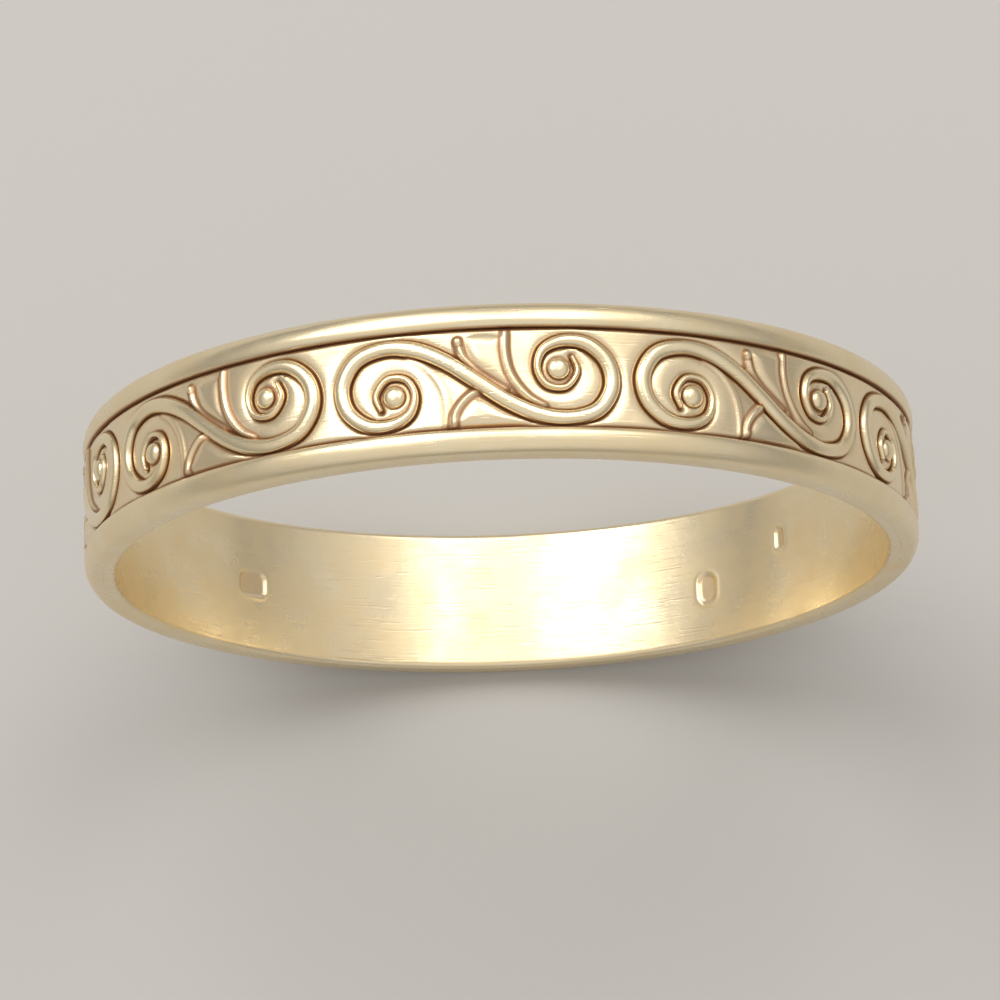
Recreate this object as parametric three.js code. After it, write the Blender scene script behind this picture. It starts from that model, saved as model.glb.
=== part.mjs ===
// Wedding band of the built-up kind, in millimetres.
// The finger axis is Y, the origin is the centre of the bore, and +Z is the top of the standing band.
// The wall is an inner sleeve with a ground strip and two rim wires soldered round it.
// S-shaped scroll wires lie end to end on the strip, with a bead at the heart of each curl.

import * as THREE from 'three';

// ---- driving dimensions ----

const BORE_RADIUS = 8.65;
const RIM_RADIUS = 9.36;
const BAND_WIDTH = 3.30;

const SLEEVE_WALL = 0.28;
const SLEEVE_EDGE = 0.12;         // softened edge against the finger
const RIM_WIDTH = 0.55;
const RIM_OUTER_ROUND = 0.26;     // of the rim's corner to the side face
const RIM_INNER_ROUND = 0.10;     // of the rim's corner to the frieze
const GROUND_DEPTH = 0.14;        // from the rims' crest down to the ground of the frieze
const SOLDER_GAP = 0.015;         // clearance of every soldered joint

const SCROLL_COUNT = 9;           // S-shaped wires round the band
const SCROLL_HEIGHT = 0.115;      // thickness of the flattened wire
const BEAD_RADIUS = 0.24;
const BEAD_HEIGHT = 0.125;        // the beads rise to the level of the rims' crest

const SEGMENTS_PER_SCROLL = 8;    // facets of the rings for each scroll
const STATIONS_PER_SPAN = 2;      // steps of the scroll wire between two points of its centre line
const BEAD_SIDES = 10;
const SLEEVE_EDGE_STEPS = 2;      // facets of the rounded edges
const RIM_INNER_STEPS = 2;
const RIM_OUTER_STEPS = 3;
const FRIEZE_TURN = THREE.MathUtils.degToRad(-2.6);   // of the first scroll's middle from the top
const FRIEZE_SHIFT = -0.05;       // of the scrolls' middle from the middle of the band

// ---- derived sizes ----

const HALF_WIDTH = BAND_WIDTH / 2;
const SLEEVE_RADIUS = BORE_RADIUS + SLEEVE_WALL;
const SEAT_RADIUS = SLEEVE_RADIUS + SOLDER_GAP;
const GROUND_RADIUS = RIM_RADIUS - GROUND_DEPTH;
const TRIM_RADIUS = GROUND_RADIUS + SOLDER_GAP;
const RIM_INNER_EDGE = HALF_WIDTH - RIM_WIDTH;
const GROUND_HALF_WIDTH = RIM_INNER_EDGE - SOLDER_GAP;
const RING_SEGMENTS = SCROLL_COUNT * SEGMENTS_PER_SCROLL;
const SCROLL_ANGLE = 2 * Math.PI / SCROLL_COUNT;

// Flat drawings are (u, v): u runs round the band at the ground's radius, v across it.
// One curl of the scroll: centre line from the middle of the S to the tip, with the half width.
const CURL = [
  [0.00, 0.00, 0.165],
  [-0.62, 0.45, 0.17],
  [-1.27, 0.76, 0.175],
  [-1.92, 0.85, 0.16],
  [-2.55, 0.66, 0.165],
  [-2.87, 0.15, 0.17],
  [-2.78, -0.40, 0.165],
  [-2.36, -0.78, 0.15],
  [-1.84, -0.84, 0.13],
  [-1.42, -0.64, 0.1],
  [-1.29, -0.23, 0.075],
  [-1.48, 0.13, 0.07],
  [-1.88, 0.17, 0.065],
  [-2.13, -0.16, 0.06],
  [-2.03, -0.50, 0.04],
];
const BEAD_CENTRE = [-1.74, -0.22];

// Section of the flattened wire, nearly flat on top: shares of its half width and of its height.
const WIRE_SECTION = [
  [-1, 0],
  [-0.82, 0.75],
  [-0.35, 1],
  [0.35, 1],
  [0.82, 0.75],
  [1, 0],
];

// Half outline of a bead from its soldered foot to its crown: shares of its radius and of its height.
const BEAD_OUTLINE = [
  [0, 0],
  [0.85, 0],
  [1, 0.3],
  [0.75, 0.75],
  [0.35, 0.97],
  [0, 1],
];

const material = (color, roughness) => new THREE.MeshStandardMaterial({ color, roughness, metalness: 1 });
const polishedGold = material(0xe0c48c, 0.18);
const friezeGold = material(0xd6b67c, 0.28);
const groundGold = material(0xb8945c, 0.4);

const part = new THREE.Group();

function addPiece(name, geometry, pieceMaterial) {
  const mesh = new THREE.Mesh(geometry, pieceMaterial);
  mesh.name = name;
  part.add(mesh);
  return mesh;
}

// ---- rings turned about the finger axis ----

// A ring from a closed section of [radius, y] points, listed so that its faces point out.
function turnedRing(section) {
  const points = [...section, section[0]].map(([radius, y]) => new THREE.Vector2(radius, y));
  return new THREE.LatheGeometry(points, RING_SEGMENTS);
}

// Points of a quarter round about a centre at (centreRadius, centreY) of a ring's section.
function quarterRound(centreRadius, centreY, radius, startDegrees, endDegrees, steps) {
  const points = [];
  for (let step = 0; step <= steps; step += 1) {
    const angle = THREE.MathUtils.degToRad(startDegrees + (endDegrees - startDegrees) * step / steps);
    points.push([centreRadius + radius * Math.cos(angle), centreY + radius * Math.sin(angle)]);
  }
  return points;
}

function innerSleeve() {
  const edgeRadius = BORE_RADIUS + SLEEVE_EDGE;
  return turnedRing([
    [SLEEVE_RADIUS, -HALF_WIDTH],
    [SLEEVE_RADIUS, HALF_WIDTH],
    ...quarterRound(edgeRadius, HALF_WIDTH - SLEEVE_EDGE, SLEEVE_EDGE, 90, 180, SLEEVE_EDGE_STEPS),
    ...quarterRound(edgeRadius, SLEEVE_EDGE - HALF_WIDTH, SLEEVE_EDGE, 180, 270, SLEEVE_EDGE_STEPS),
  ]);
}

// The rim at +Y; side is 1 there and -1 for the rim at -Y.
function rimWire(side) {
  const innerY = RIM_INNER_EDGE + RIM_INNER_ROUND;
  const outerY = HALF_WIDTH - RIM_OUTER_ROUND;
  const section = [
    [SEAT_RADIUS, RIM_INNER_EDGE],
    ...quarterRound(RIM_RADIUS - RIM_INNER_ROUND, innerY, RIM_INNER_ROUND, -90, 0, RIM_INNER_STEPS),
    ...quarterRound(RIM_RADIUS - RIM_OUTER_ROUND, outerY, RIM_OUTER_ROUND, 0, 90, RIM_OUTER_STEPS),
    [SEAT_RADIUS, HALF_WIDTH],
  ];
  const placed = section.map(([radius, y]) => [radius, side * y]);
  return turnedRing(side > 0 ? placed : placed.reverse());
}

function groundStrip() {
  return turnedRing([
    [SEAT_RADIUS, -GROUND_HALF_WIDTH],
    [GROUND_RADIUS, -GROUND_HALF_WIDTH],
    [GROUND_RADIUS, GROUND_HALF_WIDTH],
    [SEAT_RADIUS, GROUND_HALF_WIDTH],
  ]);
}

// ---- solids bent round the band ----

function bentPoint(u, v, radius) {
  const angle = u / GROUND_RADIUS;
  return [radius * Math.sin(angle), v, radius * Math.cos(angle)];
}

function geometryFrom(points, faces) {
  const geometry = new THREE.BufferGeometry();
  geometry.setAttribute('position', new THREE.Float32BufferAttribute(points.flat(), 3));
  geometry.setIndex(faces.flat());
  geometry.computeVertexNormals();
  return geometry;
}

// The whole S: one curl, then the same curl turned half a turn about the middle.
function scrollCentreLine() {
  const turned = CURL.slice(1).map(([u, v, half]) => [-u, -v, half]);
  const line = [...CURL.slice().reverse(), ...turned];
  return new THREE.CatmullRomCurve3(line.map((point) => new THREE.Vector3(...point)), false, 'centripetal');
}

// The flattened wire's section swept along the S.
function scrollWire() {
  const curve = scrollCentreLine();
  const stations = (curve.points.length - 1) * STATIONS_PER_SPAN;
  const points = [];
  for (let station = 0; station <= stations; station += 1) {
    const centre = curve.getPoint(station / stations);
    const tangent = curve.getTangent(station / stations);
    const across = new THREE.Vector2(-tangent.y, tangent.x).normalize();
    for (const [side, rise] of WIRE_SECTION) {
      const u = centre.x + across.x * side * centre.z;
      const v = centre.y + across.y * side * centre.z;
      points.push(bentPoint(u, v + FRIEZE_SHIFT, TRIM_RADIUS + rise * SCROLL_HEIGHT));
    }
  }
  const size = WIRE_SECTION.length;
  const faces = [];
  for (let station = 0; station < stations; station += 1) {
    for (let corner = 0; corner < size; corner += 1) {
      const a = station * size + corner;
      const b = station * size + (corner + 1) % size;
      faces.push([a, a + size, b], [b, a + size, b + size]);
    }
  }
  const last = stations * size;
  for (let corner = 1; corner < size - 1; corner += 1) {
    faces.push([0, corner, corner + 1], [last, last + corner + 1, last + corner]);
  }
  return geometryFrom(points, faces);
}

function bead() {
  const points = BEAD_OUTLINE.map(([out, up]) => new THREE.Vector2(out * BEAD_RADIUS, up * BEAD_HEIGHT));
  return new THREE.LatheGeometry(points, BEAD_SIDES);
}

// ---- the band ----

addPiece('inner_sleeve', innerSleeve(), polishedGold);
addPiece('front_rim_wire', rimWire(-1), polishedGold);
addPiece('back_rim_wire', rimWire(1), polishedGold);
addPiece('frieze_ground_strip', groundStrip(), groundGold);

const wireGeometry = scrollWire();
const beadGeometry = bead();
for (let index = 0; index < SCROLL_COUNT; index += 1) {
  const turn = FRIEZE_TURN + index * SCROLL_ANGLE;
  addPiece(`scroll_wire_${index + 1}`, wireGeometry, friezeGold).rotation.y = turn;
  for (const [side, name] of [[1, 'left'], [-1, 'right']]) {
    const piece = addPiece(`bead_${index + 1}_${name}`, beadGeometry, friezeGold);
    const angle = turn + side * BEAD_CENTRE[0] / GROUND_RADIUS;
    const y = side * BEAD_CENTRE[1] + FRIEZE_SHIFT;
    piece.position.set(TRIM_RADIUS * Math.sin(angle), y, TRIM_RADIUS * Math.cos(angle));
    piece.rotation.set(Math.PI / 2, angle, 0, 'YXZ');
  }
}

export default part;
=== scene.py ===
"""Gold wedding band with a scroll frieze: the fine surface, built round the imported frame.

Lengths are in millimetres until a mesh is made, which is in metres. The finger axis is Y and +Z is
the top of the standing band. Flat drawings of the frieze are (u, v): u runs round the band at the
ground's radius, measured from +Z towards +X, and v runs across it along Y.
"""

import math

import bpy
import numpy as np
from mathutils import Matrix, Vector


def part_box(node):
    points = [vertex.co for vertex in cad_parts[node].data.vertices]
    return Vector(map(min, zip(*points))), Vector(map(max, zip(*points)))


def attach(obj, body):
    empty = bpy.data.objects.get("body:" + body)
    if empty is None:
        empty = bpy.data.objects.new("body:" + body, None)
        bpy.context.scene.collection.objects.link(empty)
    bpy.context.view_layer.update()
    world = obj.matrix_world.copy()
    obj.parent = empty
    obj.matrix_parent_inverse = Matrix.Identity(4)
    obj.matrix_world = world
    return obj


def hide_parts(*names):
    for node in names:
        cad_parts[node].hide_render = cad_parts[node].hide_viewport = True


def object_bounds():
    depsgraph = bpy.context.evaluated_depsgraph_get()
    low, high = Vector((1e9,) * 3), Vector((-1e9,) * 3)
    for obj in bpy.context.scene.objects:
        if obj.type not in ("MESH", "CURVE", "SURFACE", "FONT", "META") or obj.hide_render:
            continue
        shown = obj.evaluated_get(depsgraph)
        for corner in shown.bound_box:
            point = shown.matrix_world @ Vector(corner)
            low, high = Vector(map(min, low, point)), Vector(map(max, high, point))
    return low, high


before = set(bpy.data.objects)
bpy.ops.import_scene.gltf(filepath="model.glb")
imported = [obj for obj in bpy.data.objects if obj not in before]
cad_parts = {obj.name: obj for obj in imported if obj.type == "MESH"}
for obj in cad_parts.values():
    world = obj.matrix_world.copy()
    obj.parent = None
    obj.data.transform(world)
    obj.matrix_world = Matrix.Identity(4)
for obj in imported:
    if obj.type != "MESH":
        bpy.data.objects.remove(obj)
CAD_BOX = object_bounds()

# ---- the rings ----

MM = 0.001
RIM_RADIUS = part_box("back_rim_wire")[1].z / MM
HALF_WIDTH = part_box("inner_sleeve")[1].y / MM
SLEEVE_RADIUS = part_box("inner_sleeve")[1].z / MM
GROUND_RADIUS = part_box("frieze_ground_strip")[1].z / MM
RIM_INNER_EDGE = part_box("back_rim_wire")[0].y / MM
WALL = 0.71                             # at the rims
BORE_RADIUS = RIM_RADIUS - WALL
SEAM = 0.003                            # soldered seams, closed up to a hair line
SEAT_RADIUS = SLEEVE_RADIUS + SEAM
FRIEZE_HALF = RIM_INNER_EDGE - SEAM
CORNER = 0.006                          # how near a sharp corner its holding edge lies

SLEEVE_EDGE = 0.12                      # softened edge against the finger
SLEEVE_EDGE_STEPS = 6
BORE_ROWS = 91                          # rows of points across the bore
BORE_STEP = 1.5                         # degrees between points round the bore
PUNCH_STEP = 0.2                        # degrees between them near a punch
PUNCH_SPAN = 5.0                        # degrees to each side of a punch that this holds for

RIM_CREST = 0.17                        # from the rim's edge beside the frieze to its crest
RIM_INNER_FALL = 0.10                   # from the rims' crest to the edge beside the frieze
RIM_OUTER_FALL = 0.25                   # from the crest to the edge of the side face
RIM_STEPS = 12                          # of each side of the rim's section
RIM_SEGMENTS = 360
RIM_WORN = 0.012                        # taken off the rims by polishing
RIM_PATINA_AND_SHADE_LOW = 0.03                    # patina and painted shade on the rim's wall beside the frieze are full this high above the ground
RIM_PATINA_AND_SHADE_HIGH = 0.01                   # and gone this far below the crest

# Blank marks struck in the bore: degrees from the top, y, half length, half height, corner radius.
PUNCHES = [
    (-137.0, 0.0, 0.42, 0.30, 0.20),
    (146.0, -0.3, 0.26, 0.38, 0.24),
    (131.0, 0.45, 0.16, 0.28, 0.15),
]
PUNCH_DEPTH = 0.05
PUNCH_STAIN = 0.35                      # how much of the patina is left in them after polishing
PUNCH_EDGE = (-0.09, 0.01)              # where its wall starts and ends, from its outline outwards
BURR_HEIGHT = 0.15                      # metal raised round a punch, as a share of its depth
BURR_START = -0.01                      # how far outside the outline it starts
BURR_PLACE = 0.03                       # and how far out it begins to fall
BURR_WIDTH = 0.05

# ---- the frieze ----

SCROLLS = 9
SCROLL_ANGLE = 2 * math.pi / SCROLLS
PITCH = SCROLL_ANGLE * GROUND_RADIUS
FRIEZE_TURN = math.radians(-2.6)        # of the first scroll's middle from the top
FRIEZE_SHIFT = -0.05                    # of the scrolls' middle from the middle of the band

# One curl of the scroll: centre line from the middle of the S to the tip, with the half width.
CURL = [
    (0.00, 0.00, 0.165),
    (-0.62, 0.45, 0.17),
    (-1.27, 0.76, 0.175),
    (-1.92, 0.85, 0.16),
    (-2.55, 0.66, 0.165),
    (-2.87, 0.15, 0.17),
    (-2.78, -0.40, 0.165),
    (-2.36, -0.78, 0.15),
    (-1.84, -0.84, 0.13),
    (-1.42, -0.64, 0.1),
    (-1.29, -0.23, 0.075),
    (-1.48, 0.13, 0.07),
    (-1.88, 0.17, 0.065),
    (-2.13, -0.16, 0.06),
    (-2.03, -0.50, 0.04),
]
WIRE_HEIGHT = 0.135                     # of the scroll wires above the ground
WIRE_ROOT = 0.05                        # how far the wires and beads are sunk in the chased ground
WIRE_STEPS = 10                         # of the scroll wire between two points of its centre line
TIP_HEIGHT = 0.62                       # share of the wire's height that is left at its tips
TIP_TAPER = 70                          # steps over which it falls to that
WIRE_PATINA_AND_SHADE = (0.15, 0.75)               # patina and painted shade on the wire's flanks fade out between these shares of its height

# Section of the flattened wire: share of the half width, and rise as a share of the wire's height.
WIRE_SWING = np.linspace(-math.pi / 2, math.pi / 2, 15)
WIRE_FLATNESS = 0.62                    # 1 is an ellipse, and less is flatter on top
WIRE_ACROSS = np.sin(WIRE_SWING)
WIRE_RISE = np.cos(WIRE_SWING) ** WIRE_FLATNESS

BEAD_CENTRE = (-1.74, -0.22)
BEAD_RADIUS = 0.24
BEAD_HEIGHT = 0.16
BEAD_FOOT = 0.96                        # radius of its foot, as a share of its own
BEAD_FULLNESS = 0.8                     # 1 is an ellipse, and less is fuller
BEAD_SIDES = 28
BEAD_RINGS = 9
BEAD_PATINA_AND_SHADE = (-0.01, 0.09)              # patina and painted shade at the bead's foot fade out between these heights above the ground

# Outlines of the two leaves raised beside the middle of the S.
LEAVES = [
    [
        (-0.20, 0.97),
        (-0.12, 0.52),
        (0.10, 0.22),
        (0.48, -0.06),
        (0.92, -0.34),
        (0.66, 0.10),
        (0.56, 0.60),
        (0.54, 0.97),
    ],
    [(0.05, -0.34), (-0.22, -0.52), (-0.38, -0.76), (-0.42, -0.97), (1.10, -0.97), (0.60, -0.66)],
]
LEAF_HEIGHT = 0.07
LEAF_REACH = 0.24                       # how far in from its outline a leaf is domed
LEAF_STEPS = 5

# Thin raised tendrils: share of the full height, and centre line. The first has a ball at its head.
TENDRILS = [
    (1.0, [(-0.36, 0.86), (-0.26, 0.50), (-0.03, 0.21), (0.26, -0.02), (0.58, -0.24)]),
    (1.0, [(0.63, 1.00), (0.62, 0.60), (0.69, 0.20), (0.86, -0.14), (1.10, -0.42), (1.40, -0.62)]),
    (0.45, [(-0.63, -1.00), (-0.62, -0.60), (-0.69, -0.20), (-0.86, 0.14), (-1.10, 0.42), (-1.40, 0.62)]),
    (1.0, [(0.16, -0.16), (-0.08, -0.28), (-0.31, -0.49), (-0.46, -0.74), (-0.50, -1.00)]),
]
TENDRIL_HEIGHT = 0.09
TENDRIL_WIDTH = 0.072
TENDRIL_STEPS = 16
# painted shade: a thin dark line on the ground along each side of a tendril, where it lies and how wide
TENDRIL_SHADE_PLACE = 1.5 * TENDRIL_WIDTH
TENDRIL_SHADE_WIDTH = 0.045
BALL_RADIUS = 0.11
BALL_HEIGHT = 1.1                       # as a share of the tendrils' height
# painted shade in a ring round the ball: how dark, where it lies and how wide
BALL_SHADE = 0.8
BALL_SHADE_PLACE = 1.1                  # in radii of the ball
BALL_SHADE_WIDTH = 0.3

STRIP_STEPS_ROUND = 170                 # points of the ground strip for each scroll
STRIP_STEPS_ACROSS = 62
RELIEF_STEPS = 14                       # of the scroll's line, for the furrow beside it
FIELD_SWELL = 0.035                     # the field is left a little domed between the furrows
SWELL_REACH = 0.30
FURROW_DEPTH = 0.05
FURROW_WIDTH = 0.048
BEAD_FURROW = 0.6                       # depth of the furrow round a bead, as a share
RIM_FURROW = (0.09, 0.01)               # where the furrow along a rim starts and is deepest, from it
RIM_FURROW_DEPTH = 0.04

# ---- hand work ----

BEAD_UNEVEN = 0.05                      # share by which the beads differ in size
BEAD_STRAY = 0.018                      # how far they lie from their places
WIRE_UNEVEN = 0.07                      # share by which the wires differ in height
CHASING_UNEVEN = 0.07                   # share by which the chasing differs in depth
BORE_UNEVEN = 0.0035                    # height of the filing waves
RIM_UNEVEN = 0.004
WAVES_ROUND = (3, 7, 13, 22, 41)        # waves round the band
WAVE_LEAN = 0.8                         # most that a wave turns for each millimetre across, in radians
BORE_SEED = 5
RIM_SEED = 11
CHASING_SEED = 23
WIRE_SEED = 31
BEAD_SEED = 37

# ---- looks; texture scales are for each metre, so 1000 is a millimetre's grain ----

PALE_GOLD = (0.90, 0.775, 0.535)
GROUND_GOLD = (0.88, 0.74, 0.51)
# colour of the real patina and of the painted shade in the frieze's furrows and at the feet of its raised
# work
PATINA_AND_SHADE_COLOUR = (0.42, 0.24, 0.13)
CLOUDED = (0.97, 0.93, 0.86)            # share of the gold's colour left where it is clouded
CLOUD_SCALE = 900
CLOUD_DETAIL = 3
CLOUD_TONE = (0.35, 0.7)                # noise levels where the clouding starts and is full
CLOUD_ROUGH = (0.3, 0.75)               # and where the roughness is least and most
LEAST_ROUGH = 0.75                      # shares of the material's roughness
MOST_ROUGH = 1.35
PATINA_AND_SHADE_RANGE = (0.15, 0.85)             # attribute values where the patina and painted shade start and are full
PATINA_ROUGH = 0.3                      # roughness that it adds
POLISH_SCALE = (350, 26000, 350)
POLISH_DETAIL = 4
POLISH_STRENGTH = 0.22
POLISH_DEPTH = 0.00001                  # bump depths are in metres
PEEL_SCALE = 2600
PEEL_DETAIL = 2
PEEL_STRENGTH = 0.14
PEEL_DEPTH = 0.00003
SCRATCH_SCALE = (900, 14000, 900)
SCRATCH_DETAIL = 2
SCRATCH_LEANS = [(0.5, 0.3, 0.9), (-0.7, 0.2, -0.6)]
SCRATCH_RANGE = (0.62, 0.70)            # only the noise's peaks are scratches, so that they are few
SCRATCH_STRENGTH = 0.22
SCRATCH_DEPTH = -0.000012

# ---- the studio, in metres ----

FLOOR_HALF = 0.6
FLOOR_COLOUR = (0.53, 0.52, 0.505)
FLOOR_ROUGHNESS = 0.7
SKY_COLOUR = (1.0, 0.97, 0.93)
SKY_AT_HORIZON = 0.32                   # the studio is darker towards the horizon
SKY_OVERHEAD = 0.80
SKY_FULL_HEIGHT = 0.75                  # upward part of the direction at which it is full
# Name, place, size, watts and colour.
SOFT_BOXES = [
    ("overhead_left", (-0.15, 0.165, 0.29), (0.26, 0.25), 0.50, (1.0, 0.98, 0.94)),
    ("overhead_right", (0.10, 0.165, 0.29), (0.16, 0.25), 0.23, (1.0, 0.96, 0.90)),
]
CAMERA_AZIMUTH = math.radians(-0.213)
CAMERA_ELEVATION = math.radians(73.891)
CAMERA_ROLL = math.radians(-1.94)
CAMERA_DISTANCE = 0.125
CAMERA_LENS = 200                       # the lens and the sensor's width are in millimetres
CAMERA_SENSOR = 36
CAMERA_CLIP = (0.005, 10)


# ---- meshes ----


def make_piece(name, points, faces, material, attributes=None):
    """A smooth mesh piece from points in millimetres, which rides on the band's one body."""
    mesh = bpy.data.meshes.new(name)
    mesh.from_pydata((np.asarray(points) * MM).tolist(), [], faces)
    mesh.polygons.foreach_set("use_smooth", [True] * len(mesh.polygons))
    for key, values in (attributes or {}).items():
        layer = mesh.attributes.new(key, "FLOAT", "POINT")
        layer.data.foreach_set("value", np.asarray(values, dtype=np.float32))
    mesh.materials.append(material)
    mesh.update()
    piece = bpy.data.objects.new(name, mesh)
    bpy.context.scene.collection.objects.link(piece)
    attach(piece, "root")
    return piece


def grid_faces(rows, columns, close_rows=False, close_columns=False):
    """Quads over a grid of points numbered row by row."""
    faces = []
    for row in range(rows if close_rows else rows - 1):
        for column in range(columns if close_columns else columns - 1):
            next_row = (row + 1) % rows
            next_column = (column + 1) % columns
            faces.append(
                (
                    row * columns + column,
                    next_row * columns + column,
                    next_row * columns + next_column,
                    row * columns + next_column,
                )
            )
    return faces


def arc(centre_r, centre_y, radius, start, end, steps):
    """Section points on a round, from start to end degrees, with 0 pointing away from the finger."""
    angles = np.radians(np.linspace(start, end, steps + 1))
    return [(centre_r + radius * math.cos(a), centre_y + radius * math.sin(a)) for a in angles]


def smooth_step(low, high, values):
    """0 below low, 1 above high, with a smooth rise between them."""
    t = np.clip((values - low) / (high - low), 0, 1)
    return t * t * (3 - 2 * t)


def rotation_about_y(turn):
    """Matrix that turns rows of points about the finger axis."""
    return np.array(Matrix.Rotation(turn, 3, "Y")).T


# ---- the drawing of the frieze ----


def catmull_rom(points, steps):
    """Smooth line through the points, with steps to each span; end spans lean on mirrored points."""
    p = np.asarray(points, float)
    p = np.vstack([2 * p[0] - p[1], p, 2 * p[-1] - p[-2]])
    line = []
    for i in range(1, len(p) - 2):
        a, b, c, d = p[i - 1 : i + 3]
        linear = c - a
        square = 2 * a - 5 * b + 4 * c - d
        cube = 3 * b - a - 3 * c + d
        for t in np.arange(steps) / steps:
            line.append(0.5 * (2 * b + linear * t + square * t**2 + cube * t**3))
    line.append(p[-2])
    return np.array(line)


def scroll_line(steps):
    """The whole S: one curl, then the same curl turned half a turn about the middle."""
    curl = np.array(CURL)
    turned_curl = curl[1:] * (-1, -1, 1)
    return catmull_rom(np.vstack([curl[::-1], turned_curl]), steps)


def distance_to_line(u, v, line):
    """Distance of each (u, v) to a line's points, and the number of the nearest one."""
    d = np.hypot(u[:, None] - line[None, :, 0], v[:, None] - line[None, :, 1])
    nearest = d.argmin(1)
    return d[np.arange(len(u)), nearest], nearest


def inside_distance(u, v, outline):
    """Signed distance to a closed outline, positive inside."""
    points = np.asarray(outline, float)
    edge_distance = np.full(len(u), np.inf)
    inside = np.zeros(len(u), bool)
    for (u0, v0), (u1, v1) in zip(points, np.roll(points, -1, axis=0)):
        du, dv = u1 - u0, v1 - v0
        t = np.clip(((u - u0) * du + (v - v0) * dv) / (du * du + dv * dv), 0, 1)
        edge_distance = np.minimum(edge_distance, np.hypot(u - u0 - t * du, v - v0 - t * dv))
        crosses = (v0 > v) != (v1 > v)
        inside ^= crosses & (u < u0 + (v - v0) * du / (dv if dv else 1.0))
    return np.where(inside, edge_distance, -edge_distance)


def groove(distance, width):
    """How deep a chased line is at a distance from its middle, from 0 to 1."""
    return np.exp(-((distance / width) ** 2))


def pillow(depth_in, reach):
    """Domed height from 0 at an edge to 1 at a depth of reach inside it."""
    t = np.clip(depth_in / reach, 0, 1)
    return 1 - (1 - t) ** 2


def rounded(outline):
    """A leaf's outline with softened corners."""
    closed = np.vstack([outline[-1:], outline, outline[:2]])
    return catmull_rom(closed, LEAF_STEPS)[LEAF_STEPS : -LEAF_STEPS - 1]


def bead_furrow(u, v, side):
    """The furrow round one of the scroll's two beads, from 0 to 1."""
    centre_u, centre_v = (side * -c for c in BEAD_CENTRE)
    from_bead = np.hypot(u - centre_u, v - centre_v) - BEAD_RADIUS
    return groove(np.maximum(from_bead, 0), FURROW_WIDTH)


def frieze_relief(u, v):
    """Height of the chased ground and how dark it is painted, over one repeat of the scroll: patina and
    painted shade in its furrows, and painted shade beside its tendrils.
    """
    line = scroll_line(RELIEF_STEPS)
    tendrils = [(share, catmull_rom(points, TENDRIL_STEPS)) for share, points in TENDRILS]
    ball_u, ball_v = TENDRILS[0][1][0]
    v = v - FRIEZE_SHIFT
    height = np.zeros(len(u))
    dark = np.zeros(len(u))
    swell = np.ones(len(u))
    ridge = np.zeros(len(u))
    for shift in (-PITCH, 0, PITCH):
        near_u = u - shift
        distance, nearest = distance_to_line(near_u, v, line)
        beside = distance - line[nearest, 2]
        cut = groove(np.maximum(beside, 0), FURROW_WIDTH)
        height -= FURROW_DEPTH * cut
        # the furrow beside the scroll is darkened: patina, and painted shade in it
        dark = np.maximum(dark, cut)
        swell = np.minimum(swell, pillow(beside, SWELL_REACH))
        for side in (-1, 1):
            cut = bead_furrow(near_u, v, side)
            height -= FURROW_DEPTH * cut * BEAD_FURROW
            # patina and painted shade in the furrow round the bead
            dark = np.maximum(dark, cut)
        for share, tendril in tendrils:
            away = distance_to_line(near_u, v, tendril)[0]
            ridge = np.maximum(ridge, share * groove(away, TENDRIL_WIDTH))
            # painted shade along each side of the tendril
            dark = np.maximum(dark, share * groove(away - TENDRIL_SHADE_PLACE, TENDRIL_SHADE_WIDTH))
        away = np.hypot(near_u - ball_u, v - ball_v) / BALL_RADIUS
        ridge = np.maximum(ridge, BALL_HEIGHT * np.sqrt(np.maximum(1 - away**2, 0)))
        # painted shade in a ring round the ball
        dark = np.maximum(dark, BALL_SHADE * groove(away - BALL_SHADE_PLACE, BALL_SHADE_WIDTH))
        for leaf in LEAVES:
            depth_in = inside_distance(near_u, v, rounded(np.array(leaf)))
            height += LEAF_HEIGHT * pillow(depth_in, LEAF_REACH)
    furrow_start, furrow_end = (FRIEZE_HALF - gap for gap in RIM_FURROW)
    rim_side = smooth_step(furrow_start, furrow_end, np.abs(v + FRIEZE_SHIFT))
    height += FIELD_SWELL * swell + TENDRIL_HEIGHT * ridge
    height = height * (1 - rim_side) - RIM_FURROW_DEPTH * rim_side
    # patina and painted shade in the furrow along each rim
    dark = np.maximum(dark, rim_side)
    return height, dark


# ---- materials ----


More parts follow.
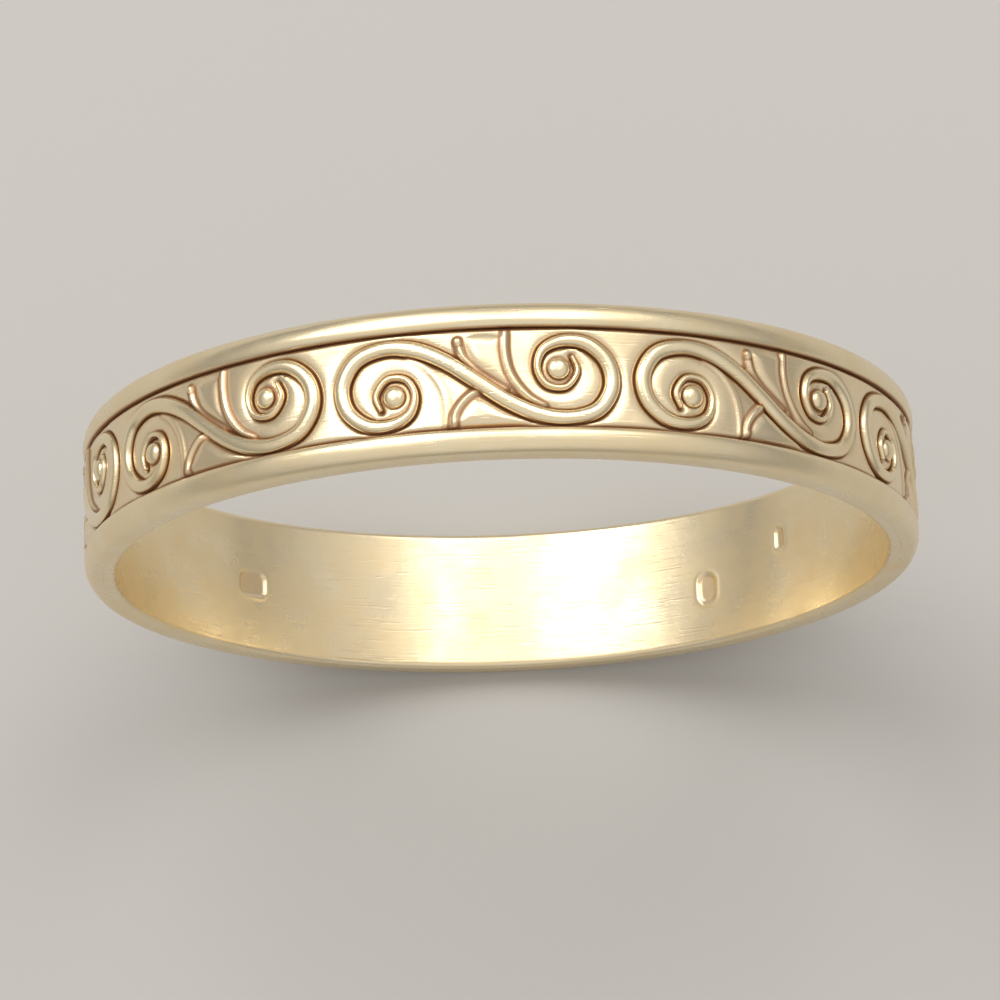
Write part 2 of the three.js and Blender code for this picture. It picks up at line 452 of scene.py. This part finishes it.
class GoldNodes:
    """One gold material's node tree, with short calls for the nodes that it needs."""

    def __init__(self, name):
        self.material = bpy.data.materials.new(name)
        self.material.use_nodes = True
        self.nodes = self.material.node_tree.nodes
        self.links = self.material.node_tree.links
        self.shader = self.nodes["Principled BSDF"]
        self.place = self.nodes.new("ShaderNodeTexCoord").outputs["Object"]

    def noise(self, scale, detail, source=None, lean=(0, 0, 0)):
        """Noise stretched by a scale for each axis, over the object's own coordinates or a source."""
        mapping = self.nodes.new("ShaderNodeMapping")
        mapping.inputs["Scale"].default_value = scale
        mapping.inputs["Rotation"].default_value = lean
        self.links.new(source or self.place, mapping.inputs["Vector"])
        texture = self.nodes.new("ShaderNodeTexNoise")
        texture.inputs["Scale"].default_value = 1.0
        texture.inputs["Detail"].default_value = detail
        self.links.new(mapping.outputs["Vector"], texture.inputs["Vector"])
        return texture.outputs["Fac"]

    def ranged(self, value, span, out_low=0, out_high=1):
        """A value's span stretched to run from out_low to out_high."""
        node = self.nodes.new("ShaderNodeMapRange")
        node.inputs["From Min"].default_value = span[0]
        node.inputs["From Max"].default_value = span[1]
        node.inputs["To Min"].default_value = out_low
        node.inputs["To Max"].default_value = out_high
        self.links.new(value, node.inputs["Value"])
        return node.outputs["Result"]

    def mixed(self, factor, first, second):
        """Two colours mixed; each is a tuple or another node's output."""
        node = self.nodes.new("ShaderNodeMix")
        node.data_type = "RGBA"
        # the node's colour sockets share their names with its others, so they are taken by number
        factor_socket, first_socket, second_socket = (node.inputs[i] for i in (0, 6, 7))
        for socket, value in ((first_socket, first), (second_socket, second)):
            if isinstance(value, tuple):
                socket.default_value = (*value, 1)
            else:
                self.links.new(value, socket)
        self.links.new(factor, factor_socket)
        colour_output = node.outputs[2]
        return colour_output

    def bumped(self, height, strength, distance, normal=None):
        """The surface's normal bent by a height, on top of an earlier normal."""
        node = self.nodes.new("ShaderNodeBump")
        node.inputs["Strength"].default_value = strength
        node.inputs["Distance"].default_value = distance
        self.links.new(height, node.inputs["Height"])
        if normal is not None:
            self.links.new(normal, node.inputs["Normal"])
        return node.outputs["Normal"]

    def round_the_finger(self):
        """Coordinates for lines that run round the finger: Y has the distance from its axis added."""
        flat = self.nodes.new("ShaderNodeVectorMath")
        flat.operation = "MULTIPLY"
        flat.inputs[1].default_value = (1, 0, 1)
        self.links.new(self.place, flat.inputs[0])
        radius = self.nodes.new("ShaderNodeVectorMath")
        radius.operation = "LENGTH"
        self.links.new(flat.outputs["Vector"], radius.inputs[0])
        apart = self.nodes.new("ShaderNodeSeparateXYZ")
        self.links.new(self.place, apart.inputs["Vector"])
        level = self.nodes.new("ShaderNodeMath")
        level.operation = "ADD"
        self.links.new(apart.outputs["Y"], level.inputs[0])
        self.links.new(radius.outputs["Value"], level.inputs[1])
        joined = self.nodes.new("ShaderNodeCombineXYZ")
        self.links.new(apart.outputs["X"], joined.inputs["X"])
        self.links.new(level.outputs["Value"], joined.inputs["Y"])
        self.links.new(apart.outputs["Z"], joined.inputs["Z"])
        return joined.outputs["Vector"]

    def colour_and_roughness(self, colour, roughness):
        """Cloudy pale gold, turned a rougher reddish brown where the darkening attribute is high: real
        patina, and painted shade in furrows, beside raised work and against the rims.
        """
        cloud = self.noise((CLOUD_SCALE,) * 3, CLOUD_DETAIL)
        clouded = tuple(c * share for c, share in zip(colour, CLOUDED))
        tone = self.mixed(self.ranged(cloud, CLOUD_TONE), colour, clouded)
        rough = self.ranged(cloud, CLOUD_ROUGH, roughness * LEAST_ROUGH, roughness * MOST_ROUGH)
        patina_and_shade = self.nodes.new("ShaderNodeAttribute")
        patina_and_shade.attribute_name = "patina_and_shade"
        strength = self.ranged(patina_and_shade.outputs["Fac"], PATINA_AND_SHADE_RANGE)
        added = self.nodes.new("ShaderNodeMath")
        added.operation = "MULTIPLY_ADD"
        added.inputs[1].default_value = PATINA_ROUGH
        self.links.new(strength, added.inputs[0])
        self.links.new(rough, added.inputs[2])
        # the darkening attribute mixes patina and painted shade into the gold's colour
        self.links.new(self.mixed(strength, tone, PATINA_AND_SHADE_COLOUR), self.shader.inputs["Base Color"])
        self.links.new(added.outputs["Value"], self.shader.inputs["Roughness"])

    def worn_surface(self, wear):
        """Polish lines round the finger, a soft orange peel, and a few scratches that cross them."""
        lines = self.noise(POLISH_SCALE, POLISH_DETAIL, self.round_the_finger())
        peel = self.noise((PEEL_SCALE,) * 3, PEEL_DETAIL)
        normal = self.bumped(lines, POLISH_STRENGTH * wear, POLISH_DEPTH)
        normal = self.bumped(peel, PEEL_STRENGTH * wear, PEEL_DEPTH, normal)
        for lean in SCRATCH_LEANS:
            hairs = self.ranged(self.noise(SCRATCH_SCALE, SCRATCH_DETAIL, lean=lean), SCRATCH_RANGE)
            normal = self.bumped(hairs, SCRATCH_STRENGTH * wear, SCRATCH_DEPTH, normal)
        self.links.new(normal, self.shader.inputs["Normal"])


def gold(name, colour, roughness, wear):
    """Worn, hand-polished gold."""
    tree = GoldNodes(name)
    tree.shader.inputs["Metallic"].default_value = 1.0
    tree.colour_and_roughness(colour, roughness)
    tree.worn_surface(wear)
    return tree.material


polished = gold("polished_gold", PALE_GOLD, 0.29, wear=0.75)
frieze = gold("frieze_gold", PALE_GOLD, 0.24, wear=1.0)
ground = gold("ground_gold", GROUND_GOLD, 0.28, wear=1.0)


# ---- pieces ----


def ring_of(section, angles, lift):
    """Points of a closed section of (radius, y) carried round the finger axis at each angle."""
    section = np.asarray(section)
    radius = np.repeat(section[None, :, 0], len(angles), axis=0)
    y = np.repeat(section[None, :, 1], len(angles), axis=0)
    turn = np.repeat(angles[:, None], len(section), axis=1)
    radius = radius + lift(radius, y, turn)
    points = np.stack([radius * np.sin(turn), y, radius * np.cos(turn)], -1)
    return points.reshape(-1, 3)


def hand_finish(turn, y, amount, seed):
    """Low waves left by working by hand, about as high as the amount."""
    random = np.random.default_rng(seed)
    waves = np.zeros(np.broadcast(turn, y).shape)
    for count in WAVES_ROUND:
        phase = random.uniform(0, 2 * math.pi, 2)
        lean = random.uniform(-WAVE_LEAN, WAVE_LEAN)
        waves += np.sin(count * turn + phase[0]) * np.cos(lean * y + phase[1]) / count**0.5
    return amount * waves


def punched(turn, y):
    """Depth of the blank punch marks struck in the bore."""
    depth = np.zeros(np.shape(turn))
    for degrees, centre_y, half_length, half_height, corner in PUNCHES:
        away = (turn - math.radians(degrees % 360)) * BORE_RADIUS
        # distance outside a rectangle with rounded corners
        side = np.maximum(np.abs(away) - half_length + corner, 0)
        up = np.maximum(np.abs(y - centre_y) - half_height + corner, 0)
        outside = np.hypot(side, up) - corner
        depth += PUNCH_DEPTH * (1 - smooth_step(*PUNCH_EDGE, outside))
        burr = groove(np.maximum(outside - BURR_PLACE, 0), BURR_WIDTH) * (outside > BURR_START)
        depth -= BURR_HEIGHT * PUNCH_DEPTH * burr
    return depth


def sleeve_section():
    """The sleeve's section, from its outside round by the bore."""
    flat_half = HALF_WIDTH - SLEEVE_EDGE
    round_radius = BORE_RADIUS + SLEEVE_EDGE
    bore = [(BORE_RADIUS, y) for y in np.linspace(flat_half, -flat_half, BORE_ROWS)[1:-1]]
    return (
        [(SLEEVE_RADIUS, -HALF_WIDTH), (SLEEVE_RADIUS, HALF_WIDTH), (SLEEVE_RADIUS - CORNER, HALF_WIDTH)]
        + arc(round_radius, flat_half, SLEEVE_EDGE, 90, 180, SLEEVE_EDGE_STEPS)
        + bore
        + arc(round_radius, -flat_half, SLEEVE_EDGE, 180, 270, SLEEVE_EDGE_STEPS)
        + [(SLEEVE_RADIUS - CORNER, -HALF_WIDTH)]
    )


def sleeve_angles():
    """Angles of the sleeve's points, closer together near a punch."""
    steps = [np.arange(0, 360, BORE_STEP)]
    for mark in PUNCHES:
        middle = mark[0] % 360
        steps.append(np.arange(middle - PUNCH_SPAN, middle + PUNCH_SPAN, PUNCH_STEP))
    same_place = 6                      # decimals at which two angles count as one
    return np.unique(np.round(np.radians(np.concatenate(steps)), same_place))


def inner_sleeve():
    section = sleeve_section()
    angles = sleeve_angles()

    def lift(radius, y, turn):
        in_bore = np.abs(radius - BORE_RADIUS) < SLEEVE_EDGE / 2
        return np.where(in_bore, punched(turn, y) + hand_finish(turn, y, BORE_UNEVEN, BORE_SEED), 0)

    points = ring_of(section, angles, lift)
    faces = grid_faces(len(angles), len(section), close_rows=True, close_columns=True)
    turn, y = np.meshgrid(angles, [y for _, y in section], indexing="ij")
    in_bore = np.array([r < BORE_RADIUS + SLEEVE_EDGE / 2 for r, _ in section])
    patina_and_shade = np.where(in_bore, PUNCH_STAIN * punched(turn, y) / PUNCH_DEPTH, 0).ravel()
    piece = make_piece("polished_inner_sleeve", points, faces, polished, {"patina_and_shade": patina_and_shade})
    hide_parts("inner_sleeve")


def rim_section(crest_y):
    """Section of the rim at +Y: a crown that falls gently to the frieze and further to the side face."""
    swing = np.radians(np.linspace(0, 90, RIM_STEPS + 1))
    inner_width = crest_y - RIM_INNER_EDGE
    outer_width = HALF_WIDTH - crest_y
    section = [(SEAT_RADIUS, RIM_INNER_EDGE)]
    for a in swing:
        radius = RIM_RADIUS - RIM_INNER_FALL * (1 - math.sin(a))
        section.append((radius, crest_y - inner_width * math.cos(a)))
    for a in swing[1:]:
        radius = RIM_RADIUS - RIM_OUTER_FALL * (1 - math.cos(a))
        section.append((radius, crest_y + outer_width * math.sin(a)))
    section += [(SEAT_RADIUS + CORNER, HALF_WIDTH), (SEAT_RADIUS, HALF_WIDTH)]
    return section


def rim_wire(name, node, side):
    crest_y = RIM_INNER_EDGE + RIM_CREST
    section = [(r, side * y) for r, y in rim_section(crest_y)]
    if side < 0:
        section.reverse()
    angles = np.linspace(0, 2 * math.pi, RIM_SEGMENTS + 1)[:-1]

    def lift(radius, y, turn):
        at_seat = radius < SEAT_RADIUS + 2 * CORNER
        return np.where(at_seat, 0, hand_finish(turn, y, RIM_UNEVEN, RIM_SEED + side) - RIM_WORN)

    points = ring_of(section, angles, lift)
    faces = grid_faces(len(angles), len(section), close_rows=True, close_columns=True)
    radii = np.array([r for r, _ in section])
    beside_frieze = [abs(y) < crest_y for _, y in section]
    # the rim's wall beside the frieze is darkened: patina, and painted shade where it rises from the
    # ground
    undarkened = smooth_step(GROUND_RADIUS + RIM_PATINA_AND_SHADE_LOW, RIM_RADIUS - RIM_PATINA_AND_SHADE_HIGH, radii)
    wall = (1 - undarkened) * beside_frieze
    piece = make_piece(name, points, faces, polished, {"patina_and_shade": np.tile(wall, len(angles))})
    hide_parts(node)


def ground_strip():
    steps_round = (np.arange(STRIP_STEPS_ROUND) + 0.5) / STRIP_STEPS_ROUND
    u = steps_round * PITCH - PITCH / 2
    v = np.linspace(-FRIEZE_HALF, FRIEZE_HALF, STRIP_STEPS_ACROSS)
    grid_u, grid_v = np.meshgrid(u, v, indexing="ij")
    height, dark = frieze_relief(grid_u.ravel(), grid_v.ravel())
    height = np.tile(height.reshape(STRIP_STEPS_ROUND, STRIP_STEPS_ACROSS), (SCROLLS, 1))
    dark = np.tile(dark.reshape(STRIP_STEPS_ROUND, STRIP_STEPS_ACROSS), (SCROLLS, 1))
    rows = STRIP_STEPS_ROUND * SCROLLS
    turn = (np.arange(rows) + 0.5) / rows * 2 * math.pi - math.pi / SCROLLS + FRIEZE_TURN
    turn = turn[:, None]
    height = height * (1 + hand_finish(turn, v[None], CHASING_UNEVEN, CHASING_SEED))
    # each row is the chased top, then the two corners of the seat on the sleeve
    radius = np.concatenate([GROUND_RADIUS + height, np.full((rows, 2), SEAT_RADIUS)], axis=1)
    y = np.repeat(np.concatenate([v, [FRIEZE_HALF, -FRIEZE_HALF]])[None], rows, axis=0)
    points = np.stack([radius * np.sin(turn), y, radius * np.cos(turn)], -1).reshape(-1, 3)
    # the seat corners are fully darkened, so the strip's sides against the rims carry patina and painted
    # shade
    patina_and_shade = np.concatenate([dark, np.ones((rows, 2))], axis=1).ravel()
    faces = grid_faces(rows, STRIP_STEPS_ACROSS + 2, close_rows=True, close_columns=True)
    piece = make_piece("chased_ground_strip", points, faces, ground, {"patina_and_shade": patina_and_shade})
    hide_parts("frieze_ground_strip")


def bent(u, v, radius):
    """Points of a flat drawing bent round the band."""
    angle = u / GROUND_RADIUS
    return np.stack([radius * np.sin(angle), v, radius * np.cos(angle)], -1)


def scroll_wires():
    line = scroll_line(WIRE_STEPS)
    tangent = np.gradient(line[:, :2], axis=0)
    tangent /= np.linalg.norm(tangent, axis=1)[:, None]
    across = np.stack([-tangent[:, 1], tangent[:, 0]], -1)
    u = line[:, None, 0] + across[:, None, 0] * WIRE_ACROSS * line[:, None, 2]
    v = line[:, None, 1] + across[:, None, 1] * WIRE_ACROSS * line[:, None, 2] + FRIEZE_SHIFT
    # the top falls away to the tip of each curl
    count = len(line)
    to_tip = np.minimum(np.arange(count), count - 1 - np.arange(count))
    crest = WIRE_HEIGHT * (TIP_HEIGHT + (1 - TIP_HEIGHT) * smooth_step(0, TIP_TAPER, to_tip))
    size = len(WIRE_ACROSS)
    faces = grid_faces(count, size, close_columns=True)
    faces.append(tuple(range(size)))
    faces.append(tuple(range((count - 1) * size, count * size))[::-1])
    # the wire's flanks are darkened towards the ground: patina and painted shade
    patina_and_shade = np.repeat((1 - smooth_step(*WIRE_PATINA_AND_SHADE, WIRE_RISE))[None], count, axis=0).ravel()
    random = np.random.default_rng(WIRE_SEED)
    for index in range(SCROLLS):
        height = crest[:, None] * (1 + WIRE_UNEVEN * random.uniform(-1, 1))
        radius = GROUND_RADIUS - WIRE_ROOT + WIRE_RISE * (height + WIRE_ROOT)
        points = bent(u, v, radius).reshape(-1, 3) @ rotation_about_y(FRIEZE_TURN + index * SCROLL_ANGLE)
        name = f"scroll_ribbon_{index + 1}"
        piece = make_piece(name, points, faces, frieze, {"patina_and_shade": patina_and_shade})
        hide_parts(f"scroll_wire_{index + 1}")


def bead_shape():
    """Points of a bead standing on the origin, its faces, and how dark each point is painted: patina and
    painted shade at its foot.
    """
    swing = np.linspace(0, math.pi / 2, BEAD_RINGS)[:-1]
    profile = [(BEAD_RADIUS * BEAD_FOOT, -WIRE_ROOT)]
    profile += [(BEAD_RADIUS * math.cos(a), BEAD_HEIGHT * math.sin(a) ** BEAD_FULLNESS) for a in swing]
    turn = np.arange(BEAD_SIDES) / BEAD_SIDES * 2 * math.pi
    points = [(r * math.cos(a), r * math.sin(a), height) for r, height in profile for a in turn]
    crown = len(points)
    points.append((0, 0, BEAD_HEIGHT))
    # rows go up from the foot and columns run round the bead, so its quads are turned to face out
    faces = [face[::-1] for face in grid_faces(len(profile), BEAD_SIDES, close_columns=True)]
    last = crown - BEAD_SIDES
    faces += [(last + s, last + (s + 1) % BEAD_SIDES, crown) for s in range(BEAD_SIDES)]
    faces.append(tuple(range(BEAD_SIDES))[::-1])
    points = np.array(points)
    return points, faces, 1 - smooth_step(*BEAD_PATINA_AND_SHADE, points[:, 2])


def beads():
    shape, faces, patina_and_shade = bead_shape()
    random = np.random.default_rng(BEAD_SEED)
    for index in range(SCROLLS):
        scroll_turn = rotation_about_y(FRIEZE_TURN + index * SCROLL_ANGLE)
        for side, label in ((1, "left"), (-1, "right")):
            bead = shape * (1 + BEAD_UNEVEN * random.uniform(-1, 1))
            stray_u, stray_v = BEAD_STRAY * random.uniform(-1, 1, 2)
            u = side * BEAD_CENTRE[0] + stray_u
            v = side * BEAD_CENTRE[1] + FRIEZE_SHIFT + stray_v
            bead = (bead + (0, 0, GROUND_RADIUS)) @ rotation_about_y(u / GROUND_RADIUS) + (0, v, 0)
            name = f"grain_{index + 1}_{label}"
            piece = make_piece(name, bead @ scroll_turn, faces, frieze, {"patina_and_shade": patina_and_shade})
            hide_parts(f"bead_{index + 1}_{label}")


inner_sleeve()
rim_wire("front_rim", "front_rim_wire", -1)
rim_wire("back_rim", "back_rim_wire", 1)
ground_strip()
scroll_wires()
beads()


# ---- floor, light and camera ----


def floor():
    z = CAD_BOX[0].z
    mesh = bpy.data.meshes.new("floor")
    corners = [(x * FLOOR_HALF, y * FLOOR_HALF, z) for x, y in ((-1, -1), (1, -1), (1, 1), (-1, 1))]
    mesh.from_pydata(corners, [], [(0, 1, 2, 3)])
    material = bpy.data.materials.new("floor")
    material.use_nodes = True
    shader = material.node_tree.nodes["Principled BSDF"]
    shader.inputs["Base Color"].default_value = (*FLOOR_COLOUR, 1)
    shader.inputs["Roughness"].default_value = FLOOR_ROUGHNESS
    mesh.materials.append(material)
    piece = bpy.data.objects.new("floor", mesh)
    bpy.context.scene.collection.objects.link(piece)


def soft_box(name, place, size, watts, colour):
    """A soft light that faces the band."""
    light = bpy.data.lights.new(name, "AREA")
    light.shape = "RECTANGLE"
    light.size, light.size_y = size
    light.energy = watts
    light.color = colour
    lamp = bpy.data.objects.new(name, light)
    lamp.location = place
    lamp.rotation_mode = "QUATERNION"
    lamp.rotation_quaternion = (-Vector(place)).to_track_quat("-Z", "Y")
    bpy.context.scene.collection.objects.link(lamp)


def sky():
    """A pale studio round the band, brighter overhead than at the horizon."""
    world = bpy.data.worlds.new("studio")
    world.use_nodes = True
    nodes = world.node_tree.nodes
    links = world.node_tree.links
    background = nodes["Background"]
    background.inputs["Color"].default_value = (*SKY_COLOUR, 1)
    place = nodes.new("ShaderNodeTexCoord")
    apart = nodes.new("ShaderNodeSeparateXYZ")
    height = nodes.new("ShaderNodeMapRange")
    height.interpolation_type = "SMOOTHSTEP"
    height.inputs["From Min"].default_value = 0.0
    height.inputs["From Max"].default_value = SKY_FULL_HEIGHT
    height.inputs["To Min"].default_value = SKY_AT_HORIZON
    height.inputs["To Max"].default_value = SKY_OVERHEAD
    links.new(place.outputs["Generated"], apart.inputs["Vector"])
    links.new(apart.outputs["Z"], height.inputs["Value"])
    links.new(height.outputs["Result"], background.inputs["Strength"])
    bpy.context.scene.world = world


def camera():
    flat = math.cos(CAMERA_ELEVATION)
    back = Vector(
        (
            math.sin(CAMERA_AZIMUTH) * flat,
            -math.cos(CAMERA_AZIMUTH) * flat,
            math.sin(CAMERA_ELEVATION),
        )
    )
    right = Vector((math.cos(CAMERA_AZIMUTH), math.sin(CAMERA_AZIMUTH), 0))
    up = back.cross(right)
    rolled_right = math.cos(CAMERA_ROLL) * right + math.sin(CAMERA_ROLL) * up
    rolled_up = -math.sin(CAMERA_ROLL) * right + math.cos(CAMERA_ROLL) * up
    data = bpy.data.cameras.new("camera")
    data.lens = CAMERA_LENS
    data.sensor_width = CAMERA_SENSOR
    data.clip_start, data.clip_end = CAMERA_CLIP
    lens = bpy.data.objects.new("camera", data)
    axes = Matrix((rolled_right, rolled_up, back)).transposed()
    lens.matrix_world = Matrix.Translation(back * CAMERA_DISTANCE) @ axes.to_4x4()
    bpy.context.scene.collection.objects.link(lens)
    bpy.context.scene.camera = lens


floor()
sky()
for box in SOFT_BOXES:
    soft_box(*box)
bpy.context.scene.view_settings.view_transform = "Standard"
camera()

bpy.context.view_layer.update()
